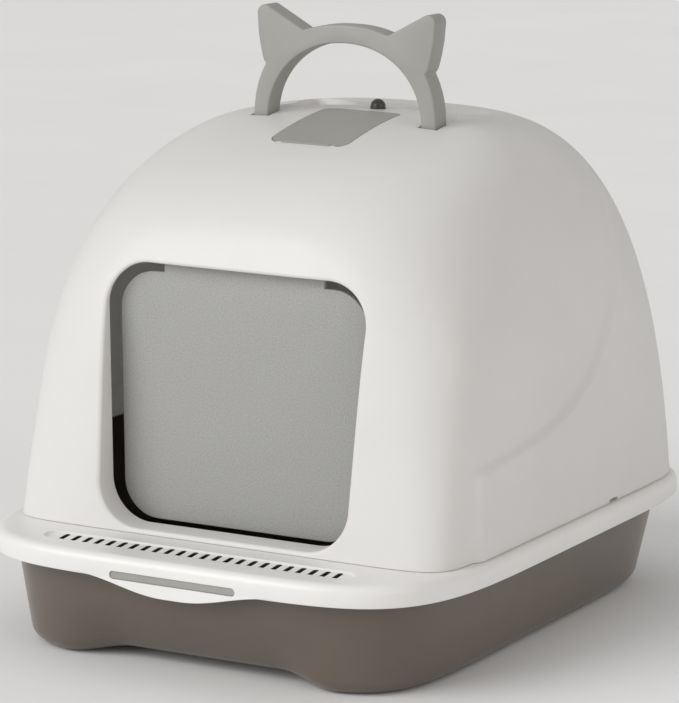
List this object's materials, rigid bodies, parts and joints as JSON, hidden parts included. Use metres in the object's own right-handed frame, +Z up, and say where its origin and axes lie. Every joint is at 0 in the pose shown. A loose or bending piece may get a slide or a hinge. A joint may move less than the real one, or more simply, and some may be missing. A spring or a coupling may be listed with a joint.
{
  "type": "hooded cat litter box",
  "caption": "Hooded cat litter box: tapered tray, white collar with a slotted ledge, domed hood, swinging frosted flap, cat-ear folding handle and a charcoal filter under a lid.",
  "frame": {"origin": "on the floor, under the middle of the overall box", "axes": "+X to the right seen from behind the entry looking in, +Y from the entry to the back, +Z up; the entry faces -Y"},
  "size_m": [0.4, 0.526, 0.475],
  "materials": {
    "white_plastic": "satin moulded polypropylene",
    "tray_plastic": "satin moulded polypropylene, brown-grey",
    "grey_plastic": "satin grey",
    "frosted_plastic": "frosted translucent",
    "dark_plastic": "satin dark grey",
    "steel": "drawn wire and rod",
    "charcoal_foam": "black carbon foam"
  },
  "bodies": {
    "tray": {"litter_tray": "tray_plastic"},
    "collar": {"collar_frame": "white_plastic", "grip_insert": "grey_plastic", "splash_guard": "tray_plastic"},
    "hood": {"hood_shell": "white_plastic", "flap_rod": "steel", "flap_bearing_left": "white_plastic", "flap_bearing_right": "white_plastic", "handle_bearing_left": "white_plastic", "handle_bearing_right": "white_plastic", "handle_pin_left": "steel", "handle_pin_right": "steel", "filter_well": "white_plastic", "filter_basket": "grey_plastic", "charcoal_filter": "charcoal_foam", "cover_pin": "steel", "latch_guide": "white_plastic", "latch_spring": "steel"},
    "flap": {"entry_flap": "frosted_plastic"},
    "handle": {"carry_handle": "grey_plastic"},
    "cover": {"filter_cover": "grey_plastic"},
    "button": {"latch_button": "dark_plastic"}
  },
  "joints": [
    {"name": "collar_lift", "type": "slide", "parent": "tray", "child": "collar", "axis": [0, 0, 1], "range_m": [0, 0.1]},
    {"name": "hood_lift", "type": "slide", "parent": "collar", "child": "hood", "axis": [0, 0, 1], "range_m": [0, 0.2]},
    {"name": "flap_swing", "type": "hinge", "parent": "hood", "child": "flap", "pos_m": [0, -0.1585, 0.301], "axis": [1, 0, 0], "range_deg": [-38, 85]},
    {"name": "handle_fold", "type": "hinge", "parent": "hood", "child": "handle", "pos_m": [0, 0.005, 0.386], "axis": [-1, 0, 0], "range_deg": [0, 90]},
    {"name": "cover_open", "type": "hinge", "parent": "hood", "child": "cover", "pos_m": [0, -0.064, 0.3766], "axis": [1, 0, 0], "range_deg": [0, 30]},
    {"name": "latch_press", "type": "slide", "parent": "hood", "child": "button", "axis": [0, 0, -1], "range_m": [0, 0.003], "stiffness_N_per_m": 200, "deforming": ["latch_spring"]}
  ]
}
